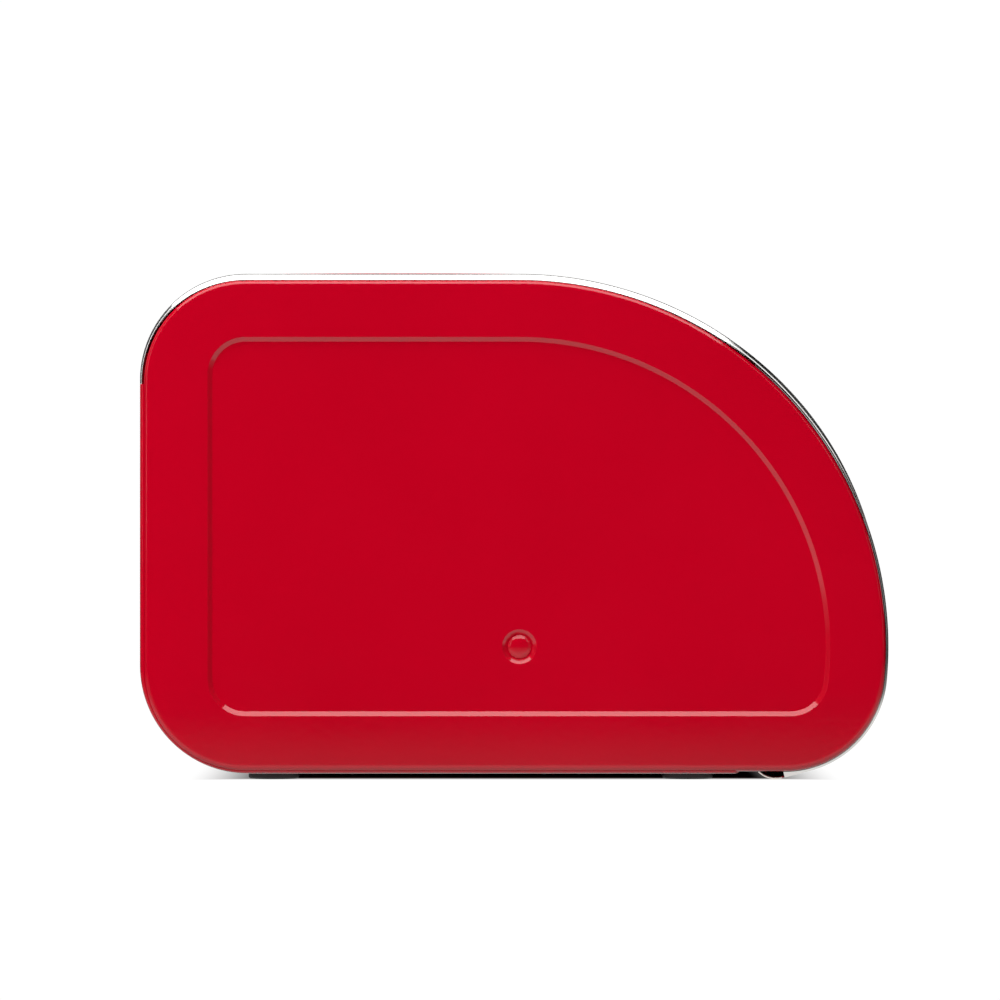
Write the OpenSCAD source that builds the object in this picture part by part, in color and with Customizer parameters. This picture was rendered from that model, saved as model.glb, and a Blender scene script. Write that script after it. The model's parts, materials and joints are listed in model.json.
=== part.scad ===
// Roll-top bread bin: a pressed steel box with a flat top and a quarter-round front.
// The curved lid turns about one pivot near the bottom of each end panel and rolls back
// under the fixed top cover. +X is the front, Y runs along the bin, +Z is up.
// The origin is on the standing surface, under the middle of the bin.

/* [Overall] */
// Length of the bin, over both end panels (mm)
bin_length = 445; // [300:5:600]
// Depth of the bin, from the back wall to the front of the closed lid (mm)
bin_depth = 265.6; // [261:0.2:269]
// Height from the standing surface to the middle of the crowned top (mm)
bin_height = 180; // [178:0.5:182]

/* [Pivot and arcs] */
// Radius of the outside of the lid about its pivot (mm)
lid_r = 131; // [129:0.5:131]
// Radius of the outside of the bright cover trim about the pivot (mm)
cover_trim_r = 132.2; // [132.2:0.1:133]
// Radius of the end panel's front edge about the pivot (mm)
panel_r = 129.9; // [129.5:0.1:129.9]
// Radius of the three lower and rear corners of the end panels (mm)
corner_r = 36; // [28:1:40]
// Radius of the lower front corner of the end panels (mm)
front_corner_r = 35.5; // [28:0.5:40]

/* [Sheet metal] */
// Thickness of the end panels and the back shell (mm)
sheet_t = 0.8; // [0.6:0.1:0.8]
// Thickness of the lid skin (mm)
lid_t = 0.7; // [0.5:0.1:0.7]
// Thickness of the top cover (mm)
cover_t = 0.6; // [0.5:0.05:0.6]
// Thickness of the folded edge of the back wall, over each end panel (mm)
back_hem_t = 1.4; // [1:0.1:1.6]
// Depth of the flange turned in round each end panel (mm)
flange_w = 3; // [2.5:0.1:3]
// Rise of the slightly crowned top over its flat trims (mm)
top_crown = 0.4; // [0.3:0.05:0.6]

/* [End panel pressing] */
// Distance of the pressed contour from the panel's edge (mm)
contour_inset = 20; // [15:1:30]
// Distance of the pressed contour from the panel's lower edge (mm)
contour_low_inset = 19.5; // [15:0.5:30]
// Distance of the middle of the contour's front arc, ahead of the pivot (mm)
contour_ahead = 0.4; // [0:0.1:1]
// Extra distance of the pressed contour from the back edge (mm)
contour_back_extra = 2.5; // [0:0.5:6]
// Corner radius of the pressed contour (mm)
contour_corner_r = 13.5; // [8:0.5:18]
// Depth of the recessed centre of the panel (mm)
contour_depth = 1.6; // [1:0.1:2]
// Radius of the pivot dimple at its mouth (mm)
dimple_r = 6.4; // [6:0.1:8]
// Depth of the pivot dimple below the recessed centre (mm)
dimple_depth = 1.6; // [1.2:0.1:1.6]

/* [Lid] */
// Angle of the lid's upper edge above level, seen from the pivot (degrees)
lid_top_angle = 68; // [60:1:72]
// Angle of the cover's front edge above level, seen from the pivot (degrees)
cover_front_angle = 50; // [44:1:54]
// Full opening angle of the lid (degrees)
lid_travel = 80; // [60:1:80]
// Radius of the rolled grip lip, to its outside (mm)
lip_r = 9; // [8.5:0.25:9.5]
// Slope of the lid's straight run down to the grip lip (degrees)
lip_slope = 15; // [13:1:17]
// Angle that the grip lip curls up past its lowest point (degrees)
lip_curl = 45; // [35:1:50]
// Clearance of the grip lip above the standing surface (mm)
lip_lift = 0.5; // [0.4:0.1:0.8]

/* [Pivot hardware] */
// Radius of the pivot rivet's shank (mm)
shank_r = 3; // [2.5:0.25:3.5]
// Radius of the pivot rivet's domed head (mm)
rivet_head_r = 4.25; // [4:0.25:5]
// Radial running clearance of the bush on the rivet (mm)
bush_play = 0.05; // [0.03:0.01:0.08]
// Radius of the bush's flanges (mm)
bush_flange_r = 7; // [6:0.5:9]

/* [Feet] */
// Radius of each rubber foot (mm)
foot_r = 9; // [6:0.5:12]
// Height of each rubber foot (mm)
foot_h = 2.6; // [2.4:0.1:3]

/* [Hidden] */
$fn = 96;
eps = 0.01;
// Extra angle by which bent strips that meet end to end run into each other
lap = 0.1;
big = 400;
half_l = bin_length / 2;
back_x = -bin_depth / 2;
pivot_x = bin_depth / 2 - lid_r;
// Height that the bright trims stand proud of the sheet beside them
trim_step = 0.2;
pivot_z = bin_height - top_crown - (cover_trim_r - trim_step);

// Radii of the sheets about the pivot
cover_r = cover_trim_r - trim_step;
lid_in_r = lid_r - lid_t;
lid_trim_in_r = panel_r + trim_step;

// Edges of the end panel's outline
panel_back = back_x + back_hem_t;
panel_low = foot_h + sheet_t;

// Lower front corner, which touches the front arc from the inside
fc_z = panel_low + front_corner_r;
fc_reach = panel_r - front_corner_r;
fc_angle = asin((fc_z - pivot_z) / fc_reach);
fc_x = pivot_x + fc_reach * cos(fc_angle);

// Rear corner of the cover and its trims
cover_corner_r = 37.5;
cover_corner_x = back_x + cover_corner_r;
cover_corner_z = pivot_z + cover_trim_r - cover_corner_r;
seam_z = cover_corner_z - 1.4;
crown_steps = 16;
crown_margin = 1;
crown_sink = 0.1;

// Places along Y at the left end, measured from the middle of the bin
face_y = -half_l;
hem_y = face_y + 0.8;
trim_y = face_y + 1.5;
cover_y = face_y + flange_w;
lid_y = cover_y + 0.3;
skin_y = lid_y + 2.5;
recess_y = face_y + contour_depth + sheet_t;
dimple_y = recess_y + dimple_depth;

// Pivot stack inboard of the dimple
washer_t = 0.8;
washer_gap = 0.45;
bush_y = dimple_y + washer_t + washer_gap;
bush_flange_t = 0.6;
arm_t = 1;
arm_y = bush_y + bush_flange_t;
bush_r = shank_r + 1.6;
clinch_y = arm_y + arm_t + bush_flange_t + 0.5;
clinch_t = 1.2;
clinch_r = 5.5;
head_h = 1.5;

// Lid arm
hub_r = 12;
rim_w = 12;
strut_w = 14;
arm_low = fc_angle + 2;
arm_high = 60;
strut_low = 4;
strut_high = 52;
arm_flange_t = 0.8;
arm_flange_w = 12;
arm_r = lid_in_r - arm_flange_t;
arm_rivet_angles = [8, 30, 52];
arm_rivet_r = 2.2;
arm_rivet_h = 1;
// The rivet heads seat a hair off the flange, because it is curved
arm_rivet_lift = 0.03;

// Rubber stops, where the arms' struts come to rest
stop_r = 4;
stop_reach = 88;
stop_gap = 0.35;
stop_w = 6;
stop_swing = asin((strut_w / 2 + stop_r + stop_gap) / stop_reach);

// Back shell, with a tongue that hooks up behind the cover's rear edge
shell_corner_r = corner_r + 2.2;
tongue_low = seam_z - 8;
tongue_angle = 165;
hem_t = 3;
base_front = 80;
base_lip_z = 11;
base_lip_w = 4;

// Lower front corner of the lid, the straight run below it and the rolled grip lip
lid_corner_r = front_corner_r + lid_r - panel_r;
run_x = fc_x + lid_corner_r * sin(lip_slope);
run_z = fc_z - lid_corner_r * cos(lip_slope);
lip_z = lip_lift + lip_r;
run_len = (run_z - lip_z + lip_r * cos(lip_slope)) / sin(lip_slope);
lip_x = run_x - run_len * cos(lip_slope) - lip_r * sin(lip_slope);
lip_wide_x = 96;
run_lap = 0.3;

// The tail of the cover trim closes in on the lid on a smaller arc
tail_top = 46;
tail_low = 15;
tail_r = 120.6;
tail_x = pivot_x + (cover_trim_r - tail_r) * cos(tail_top);
tail_z = pivot_z + (cover_trim_r - tail_r) * sin(tail_top);

foot_y = half_l - 24;
foot_front_x = 62;
foot_back_x = -86;

red = "#c00020";
steel = "#d9dadc";
zinc = "#a9adb0";
nylon = "#ece9e0";
rubber = "#26272a";

// Extrudes an outline drawn in X and Z, from y0 to y1
module slab(y0, y1) {
    translate([0, y1, 0])
        rotate([90, 0, 0])
            linear_extrude(y1 - y0)
                children();
}

// The right-hand twin of a left-hand piece
module right_hand() {
    mirror([0, 1, 0])
        children();
}

// A disc about the pivot
module pivot_disc(r) {
    translate([pivot_x, pivot_z])
        circle(r);
}

// A wedge about the pivot, between two angles less than 180 degrees apart
module wedge(x, z, a0, a1, reach = big) {
    mid = (a0 + a1) / 2;
    translate([x, z])
        polygon([[0, 0], [reach * cos(a0), reach * sin(a0)],
            [2 * reach * cos(mid), 2 * reach * sin(mid)], [reach * cos(a1), reach * sin(a1)]]);
}

// A strip of sheet bent to an arc
module arc_band(x, z, r_out, r_in, a0, a1) {
    intersection() {
        difference() {
            translate([x, z])
                circle(r_out);
            translate([x, z])
                circle(r_in);
        }
        wedge(x, z, a0, a1);
    }
}

// The closed D outline: flat top, round front, three corners and the lower front corner
module d_outline(left, low, front_r, rear_r, lower_r, mid_x = pivot_x) {
    high = pivot_z + front_r;
    reach = front_r - lower_r;
    corner_z = low + lower_r;
    corner_a = asin((corner_z - pivot_z) / reach);
    corner_x = mid_x + reach * cos(corner_a);
    translate([left + rear_r, low])
        square([mid_x - left - rear_r, high - low]);
    translate([left, low + rear_r])
        square([mid_x - left, high - low - 2 * rear_r]);
    for (z = [low + rear_r, high - rear_r])
        translate([left + rear_r, z])
            circle(rear_r);
    translate([corner_x, corner_z])
        circle(lower_r);
    intersection() {
        translate([mid_x, pivot_z])
            circle(front_r);
        wedge(mid_x, pivot_z, corner_a, 90);
    }
    polygon([[mid_x - eps, pivot_z], [corner_x, corner_z], [corner_x, low],
        [mid_x - eps, low]]);
}

module panel_outline(inset = 0) {
    d_outline(panel_back + inset, panel_low + inset, panel_r - inset, corner_r - inset,
        front_corner_r - inset);
}

module contour_outline(grow = 0) {
    d_outline(panel_back + contour_inset + contour_back_extra - grow,
        panel_low + contour_low_inset - grow, panel_r - contour_inset + grow,
        contour_corner_r + grow, contour_corner_r + grow, pivot_x + contour_ahead);
}

// A round piece along Y, at the pivot, from y0 to y1
module pivot_rod(r, y0, y1) {
    translate([pivot_x, y1, pivot_z])
        rotate([90, 0, 0])
            cylinder(h = y1 - y0, r = r);
}

module end_panel() {
    color(red)
        difference() {
            union() {
                difference() {
                    slab(face_y, face_y + flange_w)
                        panel_outline();
                    slab(face_y + sheet_t, face_y + flange_w + 1)
                        panel_outline(sheet_t);
                }
                slab(face_y + sheet_t - eps, recess_y)
                    contour_outline(sheet_t);
                pivot_rod(dimple_r + sheet_t, recess_y - eps, dimple_y);
            }
            slab(face_y - 1, face_y + contour_depth)
                contour_outline();
            pivot_rod(dimple_r, face_y, dimple_y - sheet_t);
            pivot_rod(shank_r, face_y, dimple_y + 1);
        }
}

// The back wall, the rear lower corner and the base, bent from one sheet
module shell_strip(thickness) {
    corner_x = back_x + shell_corner_r;
    corner_z = foot_h + shell_corner_r;
    translate([back_x, corner_z])
        square([thickness, seam_z - corner_z]);
    arc_band(corner_x, corner_z, shell_corner_r, shell_corner_r - thickness, 180, 270);
    translate([corner_x, foot_h])
        square([base_front - corner_x, thickness]);
}

// The base's front edge, turned up and back to stiffen it
module base_lip_outline() {
    translate([base_front - sheet_t, foot_h])
        square([sheet_t, base_lip_z - foot_h]);
    translate([base_front - base_lip_w, base_lip_z - sheet_t])
        square([base_lip_w, sheet_t]);
}

module tongue_outline() {
    tongue_out = cover_corner_r - trim_step - cover_t;
    translate([back_x + sheet_t, tongue_low])
        square([sheet_t, cover_corner_z - tongue_low]);
    arc_band(cover_corner_x, cover_corner_z, tongue_out, tongue_out - sheet_t, tongue_angle, 180);
}

module back_shell() {
    color(red) {
        slab(cover_y, -cover_y) {
            shell_strip(sheet_t);
            base_lip_outline();
        }
        slab(cover_y + 1, -cover_y - 1)
            tongue_outline();
        for (side = [0, 1])
            mirror([0, side, 0])
                slab(hem_y, cover_y)
                    difference() {
                        shell_strip(hem_t);
                        panel_outline();
                    }
    }
}

// A strip that follows the top: rear edge, rear corner, flat top and front arc
module top_strip(inset, thickness, front_a) {
    r_out = cover_trim_r - inset;
    corner_out = cover_corner_r - inset;
    translate([back_x + inset, seam_z])
        square([thickness, cover_corner_z - seam_z]);
    arc_band(cover_corner_x, cover_corner_z, corner_out, corner_out - thickness, 90, 180);
    translate([cover_corner_x, pivot_z + r_out - thickness])
        square([pivot_x - cover_corner_x, thickness]);
    arc_band(pivot_x, pivot_z, r_out, r_out - thickness, front_a, 90);
}

// The crown rises over the straight part of the top as a very flat parabola
module crown_outline() {
    half_span = (pivot_x - cover_corner_x) / 2 - crown_margin;
    mid_x = (pivot_x + cover_corner_x) / 2;
    base_z = pivot_z + cover_r - crown_sink;
    rise = top_crown + crown_sink;
    places = [for (i = [0 : crown_steps]) 1 - 2 * i / crown_steps];
    polygon(concat([for (t = places) [mid_x + half_span * t, base_z + rise * (1 - t * t)]],
        [[mid_x - half_span, base_z - crown_sink], [mid_x + half_span, base_z - crown_sink]]));
}

module top_cover() {
    color(red)
        slab(cover_y, -cover_y) {
            top_strip(trim_step, cover_t, cover_front_angle);
            crown_outline();
        }
}

module cover_trim() {
    color(steel)
        slab(trim_y, cover_y)
            difference() {
                union() {
                    top_strip(0, hem_t, tail_top);
                    arc_band(tail_x, tail_z, tail_r, tail_r - hem_t, tail_low, tail_top + lap);
                }
                panel_outline();
            }
}

// The lid's lower front corner, as a strip of the given thickness
module lid_corner_outline(thickness) {
    arc_band(fc_x, fc_z, lid_corner_r, lid_corner_r - thickness, lip_slope - 90, fc_angle + lap);
}

// The lid's sheet below that corner: a straight run and the grip lip
module lip_outline() {
    translate([run_x, run_z])
        rotate(180 + lip_slope)
            translate([-run_lap, -lid_t])
                square([run_len + 2 * run_lap, lid_t]);
    arc_band(lip_x, lip_z, lip_r, lip_r - lid_t, 270 - lip_curl, 270 + lip_slope);
}

// The sheet is narrower where the bright strips run along its edges
module lid_skin() {
    color(red)
        difference() {
            slab(lid_y, -lid_y) {
                arc_band(pivot_x, pivot_z, lid_r, lid_in_r, fc_angle, lid_top_angle);
                lid_corner_outline(lid_t);
                lip_outline();
            }
            for (side = [0, 1])
                mirror([0, side, 0])
                    slab(lid_y - 1, skin_y) {
                        translate([lip_wide_x, 0])
                            square([lid_r, bin_height]);
                        translate([0, fc_z])
                            square([lid_r, bin_height]);
                    }
        }
}

// The bright strip widens as it runs out along the straight run
module lid_trim() {
    trim_h = lid_r - lid_trim_in_r;
    color(steel)
        slab(lid_y, skin_y) {
            arc_band(pivot_x, pivot_z, lid_r, lid_trim_in_r, fc_angle, lid_top_angle);
            lid_corner_outline(trim_h);
            difference() {
                polygon([[run_x, run_z], [run_x, fc_z], [lip_wide_x, fc_z],
                    [lip_wide_x, run_z - (run_x - lip_wide_x) * tan(lip_slope)]]);
                translate([fc_x, fc_z])
                    circle(lid_corner_r - trim_h);
            }
        }
}

// A straight bar from the pivot outwards
module strut(angle, reach) {
    translate([pivot_x, pivot_z])
        rotate(angle)
            translate([0, -strut_w / 2])
                square([reach, strut_w]);
}

module lid_arm() {
    color(zinc)
        difference() {
            union() {
                slab(arm_y, arm_y + arm_t)
                    difference() {
                        union() {
                            pivot_disc(hub_r);
                            strut(strut_low, arm_r - rim_w / 2);
                            strut(strut_high, arm_r - rim_w / 2);
                            arc_band(pivot_x, pivot_z, arm_r + eps, arm_r - rim_w, arm_low,
                                arm_high);
                        }
                        pivot_disc(bush_r);
                    }
                slab(arm_y, arm_y + arm_flange_w)
                    arc_band(pivot_x, pivot_z, lid_in_r, arm_r, arm_low, arm_high);
            }
            for (a = arm_rivet_angles)
                arm_rivet_place(a)
                    cylinder(h = 2 * arm_flange_t + 1, r = arm_rivet_r / 2, center = true);
        }
}

// Frame of one arm rivet: +Z points inwards from the arm's flange
module arm_rivet_place(angle) {
    reach = arm_r - arm_rivet_lift;
    translate([pivot_x + reach * cos(angle), arm_y + arm_flange_w * 0.6,
        pivot_z + reach * sin(angle)])
        rotate([0, -90 - angle, 0])
            children();
}

module arm_rivets() {
    color(zinc)
        for (a = arm_rivet_angles)
            arm_rivet_place(a) {
                cylinder(h = arm_rivet_h, r1 = arm_rivet_r, r2 = arm_rivet_r * 0.6);
                translate([0, 0, -arm_flange_t])
                    cylinder(h = arm_flange_t, r = arm_rivet_r / 2);
            }
}

// The domed head sits in the dimple; the clinched end keeps the arm and bush on
module pivot_rivet() {
    head_y = dimple_y - sheet_t;
    dome_r = (pow(rivet_head_r, 2) + pow(head_h, 2)) / (2 * head_h);
    color(red)
        union() {
            intersection() {
                translate([pivot_x, head_y - head_h + dome_r, pivot_z])
                    sphere(dome_r);
                pivot_rod(rivet_head_r, head_y - head_h - 1, head_y);
            }
            pivot_rod(shank_r, head_y - eps, clinch_y + clinch_t / 2);
            pivot_rod(clinch_r, clinch_y, clinch_y + clinch_t);
        }
}

module pivot_washer() {
    color(steel)
        difference() {
            pivot_rod(bush_flange_r, dimple_y, dimple_y + washer_t);
            pivot_rod(shank_r, dimple_y - 1, dimple_y + washer_t + 1);
        }
}

module pivot_bush() {
    flange_in = arm_y + arm_t;
    color(nylon)
        difference() {
            union() {
                pivot_rod(bush_flange_r, bush_y, arm_y);
                pivot_rod(bush_r, bush_y + eps, flange_in + bush_flange_t / 2);
                pivot_rod(bush_flange_r, flange_in, flange_in + bush_flange_t);
            }
            pivot_rod(shank_r + bush_play, bush_y - 1, flange_in + bush_flange_t + 1);
        }
}

// A rubber buffer bonded to the inside of the end panel
module stop_buffer(angle) {
    color(rubber)
        translate([pivot_x + stop_reach * cos(angle), recess_y + stop_w,
            pivot_z + stop_reach * sin(angle)])
            rotate([90, 0, 0])
                cylinder(h = stop_w, r = stop_r);
}

module closed_stop() {
    stop_buffer(strut_low - stop_swing);
}

module open_stop() {
    stop_buffer(strut_high + lid_travel + stop_swing);
}

module foot(x, y) {
    chamfer = 0.6;
    color(rubber)
        translate([x, y, 0]) {
            cylinder(h = chamfer, r1 = foot_r - chamfer, r2 = foot_r);
            translate([0, 0, chamfer])
                cylinder(h = foot_h - chamfer, r = foot_r);
        }
}

end_panel();  // end_panel_left
right_hand() end_panel();  // end_panel_right
back_shell();
top_cover();
cover_trim();  // cover_trim_left
right_hand() cover_trim();  // cover_trim_right
lid_skin();
lid_trim();  // lid_trim_left
right_hand() lid_trim();  // lid_trim_right
lid_arm();  // lid_arm_left
right_hand() lid_arm();  // lid_arm_right
arm_rivets();  // arm_rivets_left
right_hand() arm_rivets();  // arm_rivets_right
pivot_rivet();  // pivot_rivet_left
right_hand() pivot_rivet();  // pivot_rivet_right
pivot_washer();  // pivot_washer_left
right_hand() pivot_washer();  // pivot_washer_right
pivot_bush();  // pivot_bush_left
right_hand() pivot_bush();  // pivot_bush_right
closed_stop();  // closed_stop_left
right_hand() closed_stop();  // closed_stop_right
open_stop();  // open_stop_left
right_hand() open_stop();  // open_stop_right
foot(foot_front_x, -foot_y);  // foot_front_left
foot(foot_front_x, foot_y);  // foot_front_right
foot(foot_back_x, -foot_y);  // foot_back_left
foot(foot_back_x, foot_y);  // foot_back_right
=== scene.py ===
import json
import math
import bmesh
import bpy
import numpy as np
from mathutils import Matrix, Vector


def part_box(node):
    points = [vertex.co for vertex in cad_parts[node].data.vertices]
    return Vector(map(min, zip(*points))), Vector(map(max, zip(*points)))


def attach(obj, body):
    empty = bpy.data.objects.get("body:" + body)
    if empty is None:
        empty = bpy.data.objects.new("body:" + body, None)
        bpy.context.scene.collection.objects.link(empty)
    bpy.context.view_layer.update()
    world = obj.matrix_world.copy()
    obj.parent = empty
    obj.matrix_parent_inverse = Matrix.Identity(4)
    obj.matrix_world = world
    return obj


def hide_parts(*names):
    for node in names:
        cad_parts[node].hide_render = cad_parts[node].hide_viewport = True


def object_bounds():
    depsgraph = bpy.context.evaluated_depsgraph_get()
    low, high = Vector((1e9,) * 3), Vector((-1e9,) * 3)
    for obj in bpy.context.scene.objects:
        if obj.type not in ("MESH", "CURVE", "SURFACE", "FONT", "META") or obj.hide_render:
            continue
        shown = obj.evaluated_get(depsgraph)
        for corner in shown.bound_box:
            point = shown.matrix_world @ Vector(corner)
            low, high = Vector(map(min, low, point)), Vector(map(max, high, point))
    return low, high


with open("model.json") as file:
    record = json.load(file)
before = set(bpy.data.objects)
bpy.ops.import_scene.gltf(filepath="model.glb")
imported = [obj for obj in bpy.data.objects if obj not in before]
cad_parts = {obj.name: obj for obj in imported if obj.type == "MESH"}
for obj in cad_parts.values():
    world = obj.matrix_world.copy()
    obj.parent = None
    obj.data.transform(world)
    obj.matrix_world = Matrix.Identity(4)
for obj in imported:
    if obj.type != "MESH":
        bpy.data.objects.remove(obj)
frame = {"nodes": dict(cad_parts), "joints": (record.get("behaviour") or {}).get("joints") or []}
cad_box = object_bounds()
MM = 0.001

# ---------------------------------------------------------------- driving dimensions, in metres and degrees
joint = frame["joints"][0]
PX, PZ = joint["pos_m"][0], joint["pos_m"][2]
panel_lo, panel_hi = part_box("end_panel_left")
cover_lo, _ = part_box("top_cover")
trim_lo, trim_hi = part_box("cover_trim_left")
shell_lo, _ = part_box("back_shell")
skin_lo, skin_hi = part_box("lid_skin")
_, lid_trim_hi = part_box("lid_trim_left")
rivet_lo, rivet_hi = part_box("pivot_rivet_left")

FACE_Y = panel_lo.y
PANEL_BACK = panel_lo.x
PANEL_LOW = panel_lo.z
PANEL_R = panel_hi.z - PZ
COVER_Y = cover_lo.y
COVER_R = trim_hi.z - PZ
BACK_X = trim_lo.x
SEAM_Z = cover_lo.z
TRIM_Y = trim_lo.y
SHELL_Y = shell_lo.y
SHELL_X = shell_lo.x
SHELL_Z = shell_lo.z
LID_R = skin_hi.x - PX
LIP_Y = skin_lo.y
LIP_LOW = skin_lo.z
SKIN_Y = lid_trim_hi.y

CORNER_R = 36 * MM
FRONT_CORNER_R = 35.5 * MM
SHELL_CORNER_R = 38.2 * MM
COVER_CORNER_R = 37.5 * MM
SHEET = 0.8 * MM
LID_T = 0.7 * MM
COVER_T = 0.6 * MM
PROUD = 0.2 * MM
CROWN = 0.4 * MM
BEND_R = 1.8 * MM
CONTOUR_INSET = 20 * MM
CONTOUR_LOW_INSET = 19.5 * MM
CONTOUR_AHEAD = 0.4 * MM
CONTOUR_BACK = 2.5 * MM
CONTOUR_CORNER_R = 13.5 * MM
CONTOUR_DEPTH = 1.6 * MM
CONTOUR_WALL = 1.85 * MM
STEP_FILLET = 0.3 * MM
DIMPLE_R = 6.2 * MM
DIMPLE_DEPTH = 1.6 * MM
DIMPLE_WALL = 2.0 * MM
DIMPLE_FILLET = 0.18 * MM
HOLE_R = 3 * MM
LID_TOP_A = 68
COVER_FRONT_A = 50
TAIL_TOP_A = 46
TAIL_LOW_A = 15
TAIL_R = 120.6 * MM
LIP_R = 9 * MM
LIP_SLOPE_A = 15
LIP_CURL_A = 45
LIP_WIDE_X = 96 * MM
BASE_FRONT = 80 * MM
BASE_LIP_Z = 11 * MM
BESIDE_BEND = 0.7 * MM
CUT_EDGE = 0.08 * MM

PANEL_TOP = PZ + PANEL_R
COVER_CORNER_X = BACK_X + COVER_CORNER_R
COVER_CORNER_Z = PZ + COVER_R - COVER_CORNER_R
CORNER_Z = PANEL_LOW + FRONT_CORNER_R
CORNER_A = math.degrees(math.asin((CORNER_Z - PZ) / (PANEL_R - FRONT_CORNER_R)))
CORNER_X = PX + (PANEL_R - FRONT_CORNER_R) * math.cos(math.radians(CORNER_A))


# ---------------------------------------------------------------- outlines
def arc(cx, cz, r, a0, a1, n):
    """Points of an arc in X and Z with their outward normals, n steps."""
    t = np.radians(np.linspace(a0, a1, n + 1))
    c, s = np.cos(t), np.sin(t)
    return np.column_stack([cx + r * c, cz + r * s, c, s])


def straight(x0, z0, x1, z1, share, nx, nz):
    """Points between two ends, at the given shares of the way."""
    t = np.asarray(share, float)
    one = np.ones_like(t)
    return np.column_stack([x0 + (x1 - x0) * t, z0 + (z1 - z0) * t, nx * one, nz * one])


def even(n):
    """Inner shares of a straight cut into n."""
    return np.arange(1, n) / n


def contour_sizes(grow):
    """What d_ring takes for the pressed contour, grown outward."""
    return (PANEL_BACK + CONTOUR_INSET + CONTOUR_BACK - grow, PANEL_LOW + CONTOUR_LOW_INSET - grow,
            PANEL_R - CONTOUR_INSET + grow, CONTOUR_CORNER_R + grow, CONTOUR_CORNER_R + grow,
            PX + CONTOUR_AHEAD)


def panel_sizes(inset):
    """What d_ring takes for the end panel's outline, moved inward."""
    return (PANEL_BACK + inset, PANEL_LOW + inset, PANEL_R - inset, CORNER_R - inset,
            FRONT_CORNER_R - inset, PX)


def front_corner(low, front_r, lower_r, mid_x):
    """Centre of the lower front corner, and the angle at which it meets the front's arc."""
    z = low + lower_r
    a = math.asin((z - PZ) / (front_r - lower_r))
    return mid_x + (front_r - lower_r) * math.cos(a), z, math.degrees(a)


def base_shares():
    """Shares along the base that look evenly spread from the pivot, so that the rings round it stay even."""
    left, low, front_r, rear_r, lower_r, mid_x = contour_sizes(0)
    x1 = front_corner(low, front_r, lower_r, mid_x)[0]
    x0 = left + rear_r
    drop = PZ - low
    a = np.linspace(math.atan2(x0 - PX, drop), math.atan2(x1 - PX, drop), 49)[1:-1]
    return (PX + drop * np.tan(a) - x0) / (x1 - x0)


BASE_SHARES = base_shares()


def d_ring(left, low, front_r, rear_r, lower_r, mid_x):
    """The closed D outline, always with the same number of points."""
    cx, cz, ca = front_corner(low, front_r, lower_r, mid_x)
    high = PZ + front_r
    return np.vstack([
        arc(mid_x, PZ, front_r, ca, 90, 72),
        straight(mid_x, high, left + rear_r, high, even(14), 0, 1),
        arc(left + rear_r, high - rear_r, rear_r, 90, 180, 28),
        straight(left, high - rear_r, left, low + rear_r, even(14), -1, 0),
        arc(left + rear_r, low + rear_r, rear_r, 180, 270, 28),
        straight(left + rear_r, low, cx, low, BASE_SHARES, 0, -1),
        arc(cx, cz, lower_r, 270, 360 + ca, 28)[:-1],
    ])[:, :2]


def s_bend(width, depth, r, n=7):
    """A pressed step: two fillets of radius r joined by a straight slope, as (across, down)."""
    lo, hi = 0.05, 1.5
    for _ in range(50):
        a = (lo + hi) / 2
        slope = (depth - 2 * r * (1 - math.cos(a))) / math.sin(a)
        if 2 * r * math.sin(a) + slope * math.cos(a) > width:
            lo = a
        else:
            hi = a
    t = np.linspace(0, a, n)
    first = np.column_stack([r * np.sin(t), r * (1 - np.cos(t))])
    last = np.array([width, depth]) - first[::-1]
    return np.vstack([first, last])


def unit(v):
    """Vectors scaled to length 1."""
    return v / np.linalg.norm(v, axis=-1, keepdims=True)


# ---------------------------------------------------------------- mesh building
def make(name, verts, faces, mirrored=False, sharp=40):
    """A smooth-shaded object whose edges above the angle stay sharp. Mirrored makes the right end's."""
    verts = np.array(verts, float)
    if mirrored:
        verts[:, 1] *= -1
        faces = [f[::-1] for f in faces]
    mesh = bpy.data.meshes.new(name)
    mesh.from_pydata([tuple(v) for v in verts], [], [tuple(int(i) for i in f) for f in faces])
    mesh.validate()
    mesh.shade_smooth()
    if sharp:
        mesh.set_sharp_from_angle(angle=math.radians(sharp))
    obj = bpy.data.objects.new(name, mesh)
    bpy.context.scene.collection.objects.link(obj)
    return obj


def grid_faces(rows, cols, wrap=False):
    """Quads of a grid of vertices, closed across its columns if wrapped."""
    faces = []
    for i in range(rows - 1):
        for j in range(cols - (0 if wrap else 1)):
            near, far = i * cols, (i + 1) * cols
            k = (j + 1) % cols
            faces.append((near + j, near + k, far + k, far + j))
    return faces


def ring_surface(rings):
    """Verts and faces of closed rings, each (n, 3), joined in order."""
    n = len(rings[0])
    verts = np.vstack(rings)
    return verts, grid_faces(len(rings), n, wrap=True)


def sweep(path, section):
    """A closed section, (y, h) with h outward, carried along a path and capped at both ends.

    The section may change along the path. Returns verts and faces.
    """
    k = len(section(0))
    verts = []
    for i, (x, z, nx, nz) in enumerate(path):
        for y, h in section(i):
            verts.append((x + nx * h, y, z + nz * h))
    faces = grid_faces(len(path), k, wrap=True)
    m = len(path)
    faces.append(tuple(range(k))[::-1])
    faces.append(tuple((m - 1) * k + j for j in range(k)))
    return verts, faces


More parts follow.
